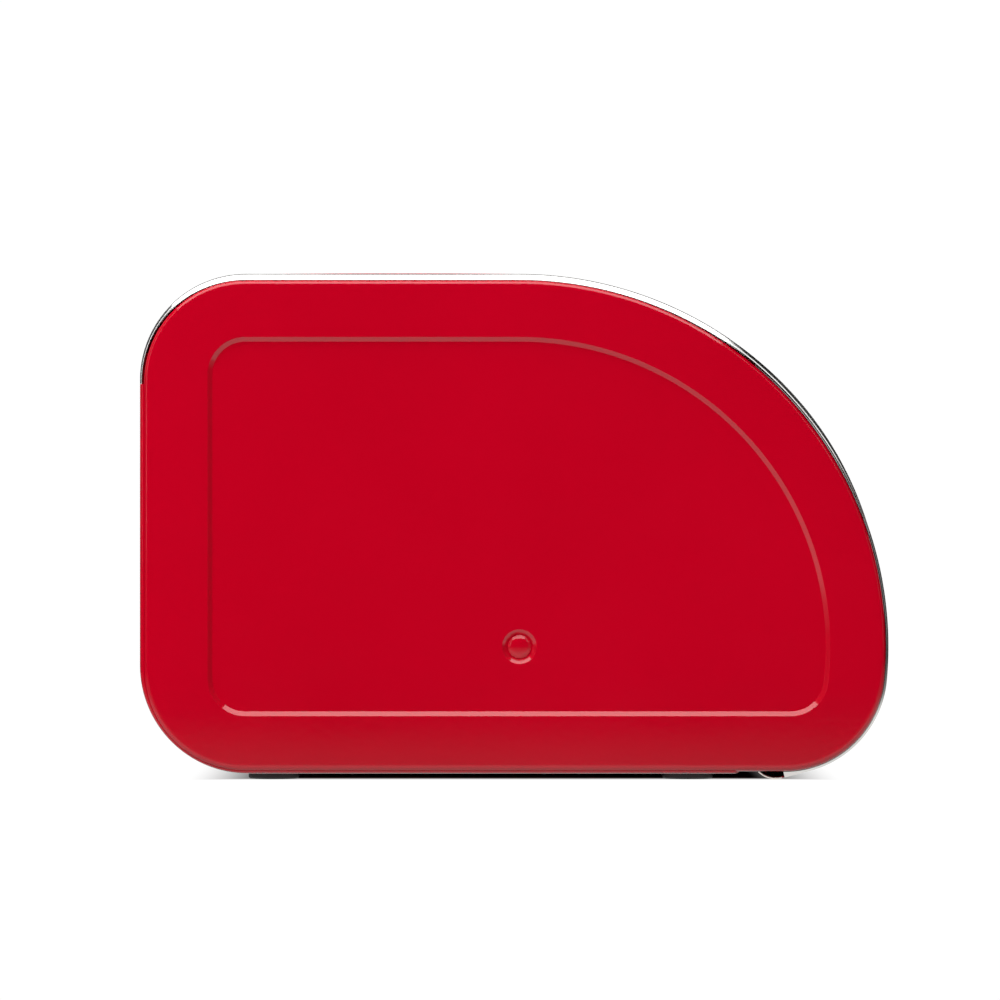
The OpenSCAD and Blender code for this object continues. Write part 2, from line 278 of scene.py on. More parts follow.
def fillet(points, radii, n=5):
    """A closed polyline with each corner rounded."""
    pts = [np.array(p, float) for p in points]
    out = []
    for i, p in enumerate(pts):
        r = radii[i]
        if r <= 0:
            out.append(p)
            continue
        a, b = unit(pts[i - 1] - p), unit(pts[(i + 1) % len(pts)] - p)
        half = math.acos(np.clip(np.dot(a, b), -1, 1)) / 2
        reach = r / math.tan(half)
        centre = p + unit(a + b) * (r / math.sin(half))
        s, e = p + a * reach - centre, p + b * reach - centre
        turn = math.atan2(s[0] * e[1] - s[1] * e[0], np.dot(s, e))
        for t in np.linspace(0, turn, n + 1):
            out.append(centre + np.array([s[0] * math.cos(t) - s[1] * math.sin(t),
                                          s[0] * math.sin(t) + s[1] * math.cos(t)]))
    return np.array(out)


def solidify(obj, thickness):
    """Sheet thickness, added on the inner side."""
    m = obj.modifiers.new("thickness", "SOLIDIFY")
    m.thickness = thickness
    m.offset = -1
    m.use_even_offset = True
    m.use_quality_normals = True


def bevel(obj, width, angle=30, segments=2):
    """Rounded edges, where faces meet at more than the angle."""
    m = obj.modifiers.new("edge", "BEVEL")
    m.width = width
    m.segments = segments
    m.limit_method = "ANGLE"
    m.angle_limit = math.radians(angle)
    m.harden_normals = False


def weighted(obj):
    """Flat faces shaded flat beside rounded edges."""
    m = obj.modifiers.new("shading", "WEIGHTED_NORMAL")
    m.weight = 60
    m.keep_sharp = True


def outward(obj):
    """Faces of a closed mesh turned to look outward."""
    bm = bmesh.new()
    bm.from_mesh(obj.data)
    bmesh.ops.recalc_face_normals(bm, faces=bm.faces)
    bm.to_mesh(obj.data)
    bm.free()
    return obj


def dress(obj, body, material, node):
    """Material, body, slot and the CAD node that the piece stands for."""
    obj.data.materials.clear()
    obj.data.materials.append(material)
    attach(obj, body)
    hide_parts(node)


# ---------------------------------------------------------------- materials
class Graph:
    """Short names for the node calls."""

    def __init__(self, name):
        self.material = bpy.data.materials.new(name)
        self.material.use_nodes = True
        self.tree = self.material.node_tree
        self.tree.nodes.clear()
        self.out = self.tree.nodes.new("ShaderNodeOutputMaterial")
        self.shader = self.tree.nodes.new("ShaderNodeBsdfPrincipled")
        self.tree.links.new(self.shader.outputs[0], self.out.inputs[0])
        self.coord = self.tree.nodes.new("ShaderNodeTexCoord").outputs["Object"]

    def link(self, a, b):
        self.tree.links.new(a, b)

    def scaled(self, sx, sy, sz):
        m = self.tree.nodes.new("ShaderNodeMapping")
        m.inputs["Scale"].default_value = (sx, sy, sz)
        self.link(self.coord, m.inputs["Vector"])
        return m.outputs[0]

    def noise(self, scale, detail=2, vector=None, rough=0.5):
        n = self.tree.nodes.new("ShaderNodeTexNoise")
        n.inputs["Scale"].default_value = scale
        n.inputs["Detail"].default_value = detail
        n.inputs["Roughness"].default_value = rough
        self.link(vector if vector is not None else self.coord, n.inputs["Vector"])
        return n.outputs["Fac"]

    def ranged(self, value, a, b, c, d, smooth=False):
        m = self.tree.nodes.new("ShaderNodeMapRange")
        m.interpolation_type = "SMOOTHSTEP" if smooth else "LINEAR"
        for i, v in zip((1, 2, 3, 4), (a, b, c, d)):
            m.inputs[i].default_value = v
        self.link(value, m.inputs[0])
        return m.outputs[0]

    def math(self, op, a, b=None, clamp=False):
        m = self.tree.nodes.new("ShaderNodeMath")
        m.operation = op
        m.use_clamp = clamp
        for i, v in enumerate((a, b)):
            if v is None:
                continue
            if isinstance(v, (int, float)):
                m.inputs[i].default_value = v
            else:
                self.link(v, m.inputs[i])
        return m.outputs[0]

    def mix(self, factor, a, b):
        m = self.tree.nodes.new("ShaderNodeMix")
        m.data_type = "RGBA"
        if isinstance(factor, (int, float)):
            m.inputs[0].default_value = factor
        else:
            self.link(factor, m.inputs[0])
        for i, v in ((6, a), (7, b)):
            if isinstance(v, tuple):
                m.inputs[i].default_value = (*v, 1)
            else:
                self.link(v, m.inputs[i])
        return m.outputs[2]

    def xyz(self):
        s = self.tree.nodes.new("ShaderNodeSeparateXYZ")
        self.link(self.coord, s.inputs[0])
        return s.outputs

    def bump(self, height, distance, strength=1.0, after=None):
        b = self.tree.nodes.new("ShaderNodeBump")
        b.inputs["Strength"].default_value = strength
        b.inputs["Distance"].default_value = distance
        self.link(height, b.inputs["Height"])
        if after is not None:
            self.link(after, b.inputs["Normal"])
        return b.outputs[0]

    def set(self, **values):
        for k, v in values.items():
            name = k.replace("_", " ")
            socket = self.shader.inputs[name]
            if isinstance(v, tuple):
                socket.default_value = (*v, 1) if len(v) == 3 else v
            elif isinstance(v, (int, float)):
                socket.default_value = v
            else:
                self.link(v, socket)


def lacquer(name, cut_edge=False):
    """Glossy red lacquer on steel: slight orange peel, faint handling marks and fine scratches."""
    g = Graph(name)
    shade = g.noise(9, 3)
    colour = g.mix(g.ranged(shade, 0.3, 0.7, 0, 1), (0.54, 0.0002, 0.0135), (0.58, 0.0003, 0.0155))
    smudge = g.noise(34, 5, g.scaled(1, 1, 2.2), 0.62)
    rough = g.ranged(smudge, 0.35, 0.75, 0.055, 0.095)
    scratch = g.noise(160, 2, g.scaled(0.25, 1, 6))
    rough = g.math("ADD", rough, g.ranged(scratch, 0.66, 0.78, 0, 0.05, smooth=True))
    peel = g.noise(520, 2)
    fine = g.noise(2600, 1)
    normal = g.bump(peel, 0.000012)
    normal = g.bump(fine, 0.0000008, 0.7, normal)
    g.set(Base_Color=colour, Roughness=rough, IOR=1.5, Normal=normal)
    if cut_edge:
        y = g.math("ABSOLUTE", g.xyz()[1])
        bare = g.ranged(y, -LIP_Y - 0.16 * MM, -LIP_Y - 0.06 * MM, 0, 1)
        g.set(Base_Color=g.mix(bare, colour, (0.82, 0.74, 0.70)),
              Metallic=g.math("MULTIPLY", bare, 0.9),
              Roughness=g.math("ADD", rough, g.math("MULTIPLY", bare, 0.22)))
    return g.material


def polished():
    """Bright plated steel strip with fine lengthwise polishing lines."""
    g = Graph("polished_steel")
    lines = g.noise(1500, 2, g.scaled(0.05, 1, 0.05))
    cloud = g.noise(60, 4)
    tone = g.mix(g.ranged(cloud, 0.3, 0.7, 0, 1), (0.61, 0.60, 0.59), (0.67, 0.66, 0.65))
    rough = g.math("ADD", g.ranged(cloud, 0.3, 0.7, 0.09, 0.15), g.ranged(lines, 0.4, 0.7, 0, 0.05))
    normal = g.bump(lines, 0.0000012, 0.6)
    g.set(Base_Color=tone, Metallic=1.0, Roughness=rough, Normal=normal)
    return g.material


def zinc():
    """Satin zinc plating, slightly mottled."""
    g = Graph("zinc_steel")
    cells = g.tree.nodes.new("ShaderNodeTexVoronoi")
    cells.inputs["Scale"].default_value = 260
    g.link(g.coord, cells.inputs["Vector"])
    mottle = g.noise(45, 4)
    tone = g.mix(g.ranged(mottle, 0.3, 0.7, 0, 1), (0.50, 0.51, 0.53), (0.64, 0.65, 0.67))
    rough = g.math("ADD", g.ranged(mottle, 0.3, 0.7, 0.30, 0.42),
                   g.ranged(cells.outputs["Distance"], 0, 1, 0, 0.08))
    g.set(Base_Color=tone, Metallic=1.0, Roughness=rough, Normal=g.bump(g.noise(900, 3), 0.000006, 0.8))
    return g.material


def nylon():
    """Off-white moulded nylon."""
    g = Graph("nylon")
    tone = g.mix(g.ranged(g.noise(120, 3), 0.3, 0.7, 0, 1), (0.76, 0.74, 0.67), (0.84, 0.82, 0.76))
    g.set(Base_Color=tone, Roughness=g.ranged(g.noise(300, 2), 0.3, 0.7, 0.38, 0.5),
          Subsurface_Weight=0.15, Subsurface_Scale=0.001,
          Normal=g.bump(g.noise(1400, 3), 0.000008, 0.6))
    return g.material


def rubber():
    """Matt black rubber with a fine moulded texture and a little dust."""
    g = Graph("rubber")
    dust = g.ranged(g.noise(180, 5, rough=0.7), 0.5, 0.8, 0, 1)
    tone = g.mix(dust, (0.007, 0.007, 0.0075), (0.017, 0.016, 0.015))
    g.set(Base_Color=tone, Roughness=g.ranged(dust, 0, 1, 0.55, 0.8),
          Normal=g.bump(g.noise(1800, 4), 0.00002, 0.7))
    return g.material


RED = lacquer("red_lacquer")
RED_LID = lacquer("red_lacquer_lid", cut_edge=True)
STEEL = polished()
ZINC = zinc()
NYLON = nylon()
RUBBER = rubber()


# ---------------------------------------------------------------- end panels
def panel_rings():
    """Rings of (x, y, z) from the flange's inner edge to the pivot hole, on the outer side."""
    def lay(points, depth):
        p = np.asarray(points)
        return np.column_stack([p[:, 0], np.full(len(p), FACE_Y + depth), p[:, 1]])

    flange = COVER_Y - FACE_Y
    rings = [lay(d_ring(*panel_sizes(0)), d) for d in (flange, flange - 0.3 * MM)]
    for a in np.radians(np.linspace(0, 90, 9)):
        rings.append(lay(d_ring(*panel_sizes(BEND_R * (1 - math.cos(a)))), BEND_R * (1 - math.sin(a))))
    near_bend = d_ring(*panel_sizes(BEND_R + BESIDE_BEND))
    near_step = d_ring(*contour_sizes(BESIDE_BEND))
    for t in np.linspace(0, 1, 5):
        rings.append(lay(near_bend + (near_step - near_bend) * t, 0))
    for across, down in s_bend(CONTOUR_WALL, CONTOUR_DEPTH, STEP_FILLET):
        rings.append(lay(d_ring(*contour_sizes(-across)), down))
    floor = d_ring(*contour_sizes(-CONTOUR_WALL - BESIDE_BEND))
    away = unit(floor - np.array([PX, PZ]))

    def round_ring(r, depth):
        return lay(np.array([PX, PZ]) + away * r, depth)

    rings.append(lay(floor, CONTOUR_DEPTH))
    near_dimple = np.array([PX, PZ]) + away * (DIMPLE_R + 0.6 * MM)
    for t in np.linspace(0, 1, 9)[1:]:
        rings.append(lay(floor + (near_dimple - floor) * t, CONTOUR_DEPTH))
    for across, down in s_bend(DIMPLE_WALL, DIMPLE_DEPTH, DIMPLE_FILLET, 6):
        rings.append(round_ring(DIMPLE_R - across, CONTOUR_DEPTH + down))
    for r in (4.0 * MM, HOLE_R + 0.2 * MM, HOLE_R):
        rings.append(round_ring(r, CONTOUR_DEPTH + DIMPLE_DEPTH))
    return rings


def build_panel(side, mirrored):
    """One pressed sheet: flange, bend, face, contour and pivot dimple."""
    verts, faces = ring_surface(panel_rings())
    obj = make(f"end_panel_skin_{side}", verts, faces, mirrored)
    solidify(obj, SHEET)
    weighted(obj)
    dress(obj, "bin", RED, f"end_panel_{side}")


# ---------------------------------------------------------------- cover, its trims and the back shell
def top_path(inset, front_a):
    """Outer surface of the cover or its trim, from the rear edge over the top to the front edge."""
    left = BACK_X + inset
    r = COVER_CORNER_R - inset
    big = COVER_R - inset
    return np.vstack([
        straight(left, SEAM_Z, left, COVER_CORNER_Z, [0, 0.5], -1, 0),
        arc(COVER_CORNER_X, COVER_CORNER_Z, r, 180, 90, 32),
        straight(COVER_CORNER_X, PZ + big, PX, PZ + big, even(16), 0, 1),
        arc(PX, PZ, big, 90, front_a, 44),
    ])


def trim_path():
    """Outer surface of the cover's trim. Its front end tapers into the panel's edge along a smaller arc."""
    cx = PX + (COVER_R - TAIL_R) * math.cos(math.radians(TAIL_TOP_A))
    cz = PZ + (COVER_R - TAIL_R) * math.sin(math.radians(TAIL_TOP_A))
    return np.vstack([top_path(0, TAIL_TOP_A)[:-1], arc(cx, cz, TAIL_R, TAIL_TOP_A, TAIL_LOW_A, 30)])


def gap_to_panel(x, z, nx, nz):
    """How far in, along the normal, the end panel's outline lies."""
    if x <= COVER_CORNER_X and z <= COVER_CORNER_Z:
        return PANEL_BACK - x
    if x < COVER_CORNER_X:
        cx, cz = PANEL_BACK + CORNER_R, PANEL_TOP - CORNER_R
        dx, dz = x - cx, z - cz
        b = dx * nx + dz * nz
        return b - math.sqrt(max(b * b - (dx * dx + dz * dz - CORNER_R ** 2), 0))
    if x < PX:
        return z - PANEL_TOP
    dx, dz = x - PX, z - PZ
    b = dx * nx + dz * nz
    return b - math.sqrt(max(b * b - (dx * dx + dz * dz - PANEL_R ** 2), 0))


def bead(y_in, y_out, h):
    """Section of a bright strip: a small outer roll, then a face that slants gently to its inner edge."""
    wide = y_in - y_out
    roll = 0.56 * min(h, 1.4 * wide)
    top_a, knee_a, foot_a = (math.radians(a) for a in (90, 44, 17))
    t = np.linspace(top_a, knee_a, 7)
    first = np.column_stack([-roll * np.cos(t), -roll * (1 - np.sin(t))])
    t = np.linspace(knee_a, foot_a, 9)
    run = np.column_stack([-(np.cos(t) - np.cos(knee_a)), -(np.sin(knee_a) - np.sin(t))])
    down = h - roll * (1 - math.sin(knee_a)) - CUT_EDGE
    run = run * down / abs(run[-1, 1]) + first[-1]
    face = np.vstack([first, run[1:]])
    face[:, 0] += y_out - face[:, 0].min()
    face[:, 0] = np.maximum(face[:, 0], y_out)
    tail = [(y_out + CUT_EDGE, -h), (y_in, -h)]
    return np.vstack([[(y_in, 0)], face, tail])


def build_cover_trim(side, mirrored):
    """A strip that fills the step between the cover and the end panel, but for a gap that grows downhill."""
    path = trim_path()
    highs = [gap_to_panel(*p) - (0.12 + 0.5 * (1 - max(p[3], 0) ** 2)) * MM for p in path]
    verts, faces = sweep(path, lambda i: bead(COVER_Y, TRIM_Y, highs[i]))
    obj = outward(make(f"cover_trim_strip_{side}", verts, faces, mirrored, sharp=50))
    weighted(obj)
    dress(obj, "bin", STEEL, f"cover_trim_{side}")


def build_cover():
    """One sheet over the top, slightly crowned along its flat."""
    path = top_path(PROUD, COVER_FRONT_A)
    span = np.linspace(-1, 1, 41)
    half = -COVER_Y
    past_flat = 5 * MM
    middle, reach = (COVER_CORNER_X + PX) / 2 + past_flat, (PX - COVER_CORNER_X) / 2 + past_flat
    verts = []
    for x, z, nx, nz in path:
        up = CROWN * max(1 - abs((x - middle) / reach) ** 3, 0) if nz > 0.99 else 0
        for s in span:
            verts.append((x + nx * up, s * half, z + nz * up))
    faces = [f[::-1] for f in grid_faces(len(path), len(span))]
    obj = make("top_cover_sheet", verts, faces)
    solidify(obj, COVER_T)
    bevel(obj, 0.18 * MM, 60)
    weighted(obj)
    dress(obj, "bin", RED, "top_cover")


def shell_path():
    """Outer surface of the back and base, from the seam down and forward to the base's front lip."""
    cx, cz = SHELL_X + SHELL_CORNER_R, SHELL_Z + SHELL_CORNER_R
    low_r, high_r = 1.6 * MM, 1.3 * MM
    lip = 4 * MM
    return np.vstack([
        straight(SHELL_X, SEAM_Z - 0.15 * MM, SHELL_X, cz, np.arange(0, 12) / 12, -1, 0),
        arc(cx, cz, SHELL_CORNER_R, 180, 270, 32),
        straight(cx, SHELL_Z, BASE_FRONT - low_r, SHELL_Z, even(14), 0, -1),
        arc(BASE_FRONT - low_r, SHELL_Z + low_r, low_r, 270, 360, 8),
        arc(BASE_FRONT - high_r, BASE_LIP_Z - high_r, high_r, 0, 90, 8),
        straight(BASE_FRONT - high_r, BASE_LIP_Z, BASE_FRONT - lip, BASE_LIP_Z, [0.5, 1], 0, 1),
    ])


def shell_gap(x, z, nx, nz):
    """How far in, along the normal, the end panel's outline lies behind and below the bin."""
    if nx < -0.999:
        return PANEL_BACK - x
    if nz < -0.999:
        return PANEL_LOW - z
    cx, cz = PANEL_BACK + CORNER_R, PANEL_LOW + CORNER_R
    dx, dz = x - cx, z - cz
    b = dx * nx + dz * nz
    return b - math.sqrt(max(b * b - (dx * dx + dz * dz - CORNER_R ** 2), 0))


def build_shell():
    """One bent sheet. Its folded side edges carry a round nose that closes up to the end panels."""
    path = shell_path()
    clear = 0.06 * MM
    nose_w = 1.5 * MM
    edge = -COVER_Y
    depths = np.linspace(SHELL_Y - FACE_Y + 0.04 * MM, BEND_R, 5)
    bend = BEND_R - np.sqrt(BEND_R ** 2 - (BEND_R - depths) ** 2)

    def nose(x, z, nx, nz):
        """Outer end of the sheet, wrapped over the end panel's bend, but plain along the front lip."""
        if x > 0 and nz > -0.999:
            half = SHEET / 2
            return [(edge + half * (math.sin(t) - 1), half * (math.cos(t) - 1))
                    for t in np.linspace(0, math.pi, 13)]
        gap = shell_gap(x, z, nx, nz) - clear
        deep = 0.9 * (gap + bend[0])
        out = [(-SHELL_Y - nose_w * (1 - math.sin(t)), -deep * (1 - math.cos(t)))
               for t in np.linspace(0, math.pi / 2, 8)]
        return out + [(-FACE_Y - d, -gap - b) for d, b in zip(depths, bend)]

    noses = [nose(*p) for p in path]

    def section(i):
        inner_h = min(noses[i][-1][1], -SHEET)
        side = noses[i] + [(edge - 0.1 * MM, inner_h), (edge - 0.3 * MM, -SHEET)]
        mids_in = [(y, -SHEET) for y in np.linspace(edge - 0.3 * MM, -edge + 0.3 * MM, 13)[1:-1]]
        mids_out = [(y, 0.0) for y in np.linspace(-edge + 0.8 * MM, edge - 0.8 * MM, 13)]
        return np.array(side + mids_in + [(-y, h) for y, h in side[::-1]] + mids_out)

    verts, faces = sweep(path, section)
    tongue_out = COVER_CORNER_R - PROUD - COVER_T
    tongue = np.vstack([
        straight(SHELL_X + SHEET, SEAM_Z - 8 * MM, SHELL_X + SHEET, COVER_CORNER_Z, [0, 0.5], -1, 0),
        arc(COVER_CORNER_X, COVER_CORNER_Z, tongue_out, 180, 165, 8),
    ])
    inner = -COVER_Y - 1 * MM
    box = fillet([(-inner, 0), (-inner, -SHEET), (inner, -SHEET), (inner, 0)], [0.15 * MM] * 4, 3)
    tv, tf = sweep(tongue, lambda i: box)
    start = len(verts)
    verts = verts + tv
    faces = faces + [tuple(start + j for j in f) for f in tf]
    obj = outward(make("back_shell_sheet", verts, faces, sharp=50))
    weighted(obj)
    dress(obj, "bin", RED, "back_shell")


# ---------------------------------------------------------------- lid
LID_CORNER_R = FRONT_CORNER_R + LID_R - PANEL_R
LIP_Z = LIP_LOW + LIP_R
TRIM_H = LID_R - (PANEL_R + PROUD)


def lid_path():
    """Outer surface of the lid, from its top edge down the front, round the corner and into the lip.

    Also returns the index where the sheet gets wider.
    """
    slope = math.radians(LIP_SLOPE_A)
    main = arc(PX, PZ, LID_R, LID_TOP_A, CORNER_A, 76)
    corner = arc(CORNER_X, CORNER_Z, LID_CORNER_R, CORNER_A, LIP_SLOPE_A - 90, 36)[1:]
    run_x, run_z = corner[-1, :2]
    run = (run_z - LIP_Z + LIP_R * math.cos(slope)) / math.sin(slope)
    end_x, end_z = run_x - run * math.cos(slope), run_z - run * math.sin(slope)
    share = (run_x - LIP_WIDE_X) / (run_x - end_x)
    shares = np.append(np.arange(1, 9) / 8 * share, 1)
    line = straight(run_x, run_z, end_x, end_z, shares, *corner[-1, 2:])
    lip = arc(end_x - LIP_R * math.sin(slope), LIP_Z, LIP_R, 270 + LIP_SLOPE_A, 270 - LIP_CURL_A, 24)[1:]
    return np.vstack([main, corner, line, lip]), len(main) + len(corner) + 7


def build_lid():
    """One curved sheet with its grip lip. The lip runs the lid's full width, past the trims."""
    path, wide_from = lid_path()
    span = np.linspace(-1, 1, 33)
    verts = []
    for i, (x, z, nx, nz) in enumerate(path):
        for s in span:
            verts.append((x, s * -(LIP_Y if i > wide_from else SKIN_Y), z))
    faces = [f[::-1] for f in grid_faces(len(path), len(span))]
    obj = make("lid_sheet", verts, faces)
    solidify(obj, LID_T)
    bevel(obj, 0.2 * MM, 60)
    weighted(obj)
    dress(obj, "lid", RED_LID, "lid_skin")


def build_lid_trim(side, mirrored):
    """The strip follows the lid's edge and widens as it runs out under the corner."""
    path, wide_from = lid_path()
    path = path[:wide_from + 1]
    highs = []
    for x, z, nx, nz in path:
        dx, dz = x - CORNER_X, z - CORNER_Z
        along = dx * nx + dz * nz
        beyond = dx * dx + dz * dz - (LID_CORNER_R - TRIM_H) ** 2
        wide = along - math.sqrt(max(along * along - beyond, 0))
        highs.append(max(wide, TRIM_H) if z < CORNER_Z - 20 * MM else TRIM_H)
    verts, faces = sweep(path, lambda i: bead(SKIN_Y, LIP_Y, highs[i]))
    obj = outward(make(f"lid_trim_strip_{side}", verts, faces, mirrored, sharp=50))
    weighted(obj)
    dress(obj, "lid", STEEL, f"lid_trim_{side}")


# ---------------------------------------------------------------- turned pieces
def lathe(profile, cx, cz, n=64):
    """Rings about an axis along Y: profile is (radius, y)."""
    t = np.linspace(0, 2 * math.pi, n, endpoint=False)
    rings = []
    for r, y in profile:
        rings.append(np.column_stack([cx + r * np.cos(t), np.full(n, y), cz + r * np.sin(t)]))
    verts, faces = ring_surface(rings)
    m = len(profile)
    faces.append(tuple(range(n)))
    faces.append(tuple((m - 1) * n + j for j in range(n))[::-1])
    return verts, faces


def build_pivot_rivet(side, mirrored):
    """A domed, lacquered rivet: head in the dimple, shank through the stack, clinched inner end."""
    head_r, head_h = 4.25 * MM, 1.5 * MM
    brim_r, brim = 0.3 * MM, 0.42 * MM
    low_r, high_r = 0.35 * MM, 0.7 * MM
    top = rivet_lo.y
    seat = top + head_h
    end = rivet_hi.y
    clinch_r, clinch_t = 5.5 * MM, 1.2 * MM
    dome_a = math.radians(62)
    profile = []
    for t in np.linspace(0, 1, 12)[:-1]:
        a = t * dome_a
        profile.append((head_r * 0.93 * math.sin(a) / math.sin(dome_a) + 0.02 * MM,
                        top + head_h * 0.72 * (1 - math.cos(a)) / (1 - math.cos(dome_a))))
    for a in np.linspace(0, 90, 6):
        a = math.radians(a)
        profile.append((head_r - brim_r * (1 - math.sin(a)), seat - brim + brim_r * (1 - math.cos(a))))
    profile += [(head_r, seat - 0.05 * MM), (head_r - 0.08 * MM, seat), (HOLE_R, seat),
                (HOLE_R, end - clinch_t - 0.02 * MM)]
    for a in np.linspace(-90, 0, 5):
        a = math.radians(a)
        profile.append((clinch_r - low_r + low_r * math.cos(a), end - clinch_t + low_r + low_r * math.sin(a)))
    for a in np.linspace(0, 90, 6):
        a = math.radians(a)
        profile.append((clinch_r - high_r + high_r * math.cos(a), end - high_r + high_r * math.sin(a)))
    profile += [(3.2 * MM, end - 0.02 * MM), (2.2 * MM, end - 0.28 * MM), (0.02 * MM, end - 0.34 * MM)]
    verts, faces = lathe(profile, PX, PZ)
    obj = outward(make(f"pivot_rivet_head_{side}", verts, faces, mirrored, sharp=55))
    dress(obj, "bin", RED, f"pivot_rivet_{side}")


def finish_node(name, material, width, segments=2):
    """A CAD node that keeps its shape: it gets softened edges and its material."""
    obj = frame["nodes"][name]
    obj.data.materials.clear()
    obj.data.materials.append(material)
    bevel(obj, width, segments=segments)
    weighted(obj)


for side, mirrored in (("left", False), ("right", True)):
    build_panel(side, mirrored)
    build_cover_trim(side, mirrored)
    build_lid_trim(side, mirrored)
    build_pivot_rivet(side, mirrored)
    finish_node(f"lid_arm_{side}", ZINC, 0.2 * MM)
    finish_node(f"arm_rivets_{side}", ZINC, 0.15 * MM)
    finish_node(f"pivot_washer_{side}", ZINC, 0.1 * MM)
    finish_node(f"pivot_bush_{side}", NYLON, 0.12 * MM)
    finish_node(f"closed_stop_{side}", RUBBER, 0.5 * MM, 3)
    finish_node(f"open_stop_{side}", RUBBER, 0.5 * MM, 3)
    finish_node(f"foot_front_{side}", RUBBER, 0.3 * MM, 3)
    finish_node(f"foot_back_{side}", RUBBER, 0.3 * MM, 3)
build_cover()
build_shell()
build_lid()


# ---------------------------------------------------------------- studio
PAPER_WHITE = 1.02
DOME_R = 9


def emitter(name, colour, strength):
    """A plain glowing material."""
    m = bpy.data.materials.new(name)
    m.use_nodes = True
    t = m.node_tree
    t.nodes.clear()
    out = t.nodes.new("ShaderNodeOutputMaterial")
    e = t.nodes.new("ShaderNodeEmission")
    e.inputs[0].default_value = (*colour, 1)
    e.inputs[1].default_value = strength
    t.links.new(e.outputs[0], out.inputs[0])
    return m


def stage_mesh(name, verts, faces, material):
    """A surface of the studio."""
    obj = make(name, verts, faces, sharp=0)
    obj.data.materials.append(material)
    return obj


def camera_only(obj):
    """A surface that neither lights the object nor shows in it."""
    obj.visible_diffuse = obj.visible_glossy = obj.visible_transmission = False
    obj.visible_volume_scatter = obj.visible_shadow = False


NEAR_X, NEAR_FRONT, NEAR_BACK = 0.8, -0.85, 1.0
SHADE_IN_X = 31 * MM
SHADE_IN_Y = 20 * MM


def past_edge(g):
    """Signed distances outside the object's footprint along X and along Y."""
    lo, hi = cad_box
    x, y, _ = g.xyz()
    dx = g.math("SUBTRACT", g.math("ABSOLUTE", g.math("SUBTRACT", x, (lo.x + hi.x) / 2)), (hi.x - lo.x) / 2)
    return dx, g.math("SUBTRACT", g.math("ABSOLUTE", y), hi.y)


def floor_material():
    """The lit floor, which only throws light back on the object. Its colour is a painted pool of bounce
    light: lighter near the object, darker away from it.
    """
    g = Graph("lit_floor")
    dx, dy = past_edge(g)
    away = g.ranged(g.math("MAXIMUM", dx, dy), 0.02, 0.5, 0, 1, smooth=True)
    # painted bounce light: floor colour 0.40 beside the footprint, fading to 0.12 half a metre out
    tone = g.mix(away, (0.40, 0.40, 0.40), (0.12, 0.12, 0.12))
    g.set(Base_Color=tone, Roughness=0.9, Specular_IOR_Level=0.0)
    return g.material


def sheen_material():
    """What the gloss shows of the floor: bright round the object, fading out and dark under it."""
    g = Graph("floor_sheen")
    dx, dy = past_edge(g)
    far = g.math("MAXIMUM", dx, dy)
    near = g.ranged(far, 0.03, 0.14, 0.65, 0, smooth=True)
    spread = g.math("ADD", near, g.ranged(far, 0, 0.7, 0.42, 0))
    strength = g.math("MULTIPLY", g.ranged(far, -0.03, -0.012, 0, 1), spread)
    glow = g.tree.nodes.new("ShaderNodeEmission")
    glow.inputs[0].default_value = (1.0, 0.98, 0.96, 1)
    g.link(strength, glow.inputs[1])
    g.link(glow.outputs[0], g.out.inputs[0])
    g.tree.nodes.remove(g.shader)
    return g.material


def paper_material():
    """White paper that clears away under the object, where the contact shadow shows."""
    g = Graph("white_paper")
    dx, dy = past_edge(g)
    cover = g.math("MAXIMUM", g.ranged(dx, -SHADE_IN_X - 0.017, -SHADE_IN_X + 0.017, 0, 1, smooth=True),
                   g.ranged(dy, -SHADE_IN_Y - 0.008, -SHADE_IN_Y + 0.012, 0, 1, smooth=True))
    clear = g.tree.nodes.new("ShaderNodeBsdfTransparent")
    white = g.tree.nodes.new("ShaderNodeEmission")
    white.inputs[1].default_value = PAPER_WHITE
    blend = g.tree.nodes.new("ShaderNodeMixShader")
    g.link(cover, blend.inputs[0])
    g.link(clear.outputs[0], blend.inputs[1])
    g.link(white.outputs[0], blend.inputs[2])
    g.link(blend.outputs[0], g.out.inputs[0])
    g.tree.nodes.remove(g.shader)
    return g.material


def square_at(z, x=NEAR_X, front=NEAR_FRONT, back=NEAR_BACK):
    """Corners of a level rectangle round the object."""
    return [(-x, front, z), (x, front, z), (x, back, z), (-x, back, z)]


floor = stage_mesh("near_floor", square_at(0), [(0, 1, 2, 3)], floor_material())
floor.visible_glossy = False
sheen = stage_mesh("floor_sheen", square_at(0.00002), [(0, 1, 2, 3)], sheen_material())
sheen.visible_camera = sheen.visible_diffuse = sheen.visible_transmission = sheen.visible_shadow = False
paper = stage_mesh("white_paper", square_at(0.00005, 1.2, -1.2, 1.2), [(0, 1, 2, 3)], paper_material())
camera_only(paper)

WHITE = emitter("white_surround", (1, 1, 1), PAPER_WHITE)
rim = np.linspace(0, 2 * math.pi, 64, endpoint=False)
circle = [(DOME_R * math.cos(t), DOME_R * math.sin(t), -0.001) for t in rim]
far_floor = stage_mesh("far_floor", circle, [tuple(range(len(circle)))], WHITE)
camera_only(far_floor)

dome_cols = 48
dome_rings = []
for e in np.radians(np.linspace(-20, 89.5, 24)):
    t = np.linspace(0, 2 * math.pi, dome_cols, endpoint=False)
    r, z = DOME_R * math.cos(e), DOME_R * math.sin(e)
    dome_rings.append(np.column_stack([r * np.cos(t), r * np.sin(t), np.full(dome_cols, z)]))
dome_verts, dome_faces = ring_surface(dome_rings)
dome_faces.append(tuple(range(len(dome_verts) - dome_cols, len(dome_verts))))
dome = stage_mesh("dome", dome_verts, dome_faces, WHITE)
camera_only(dome)


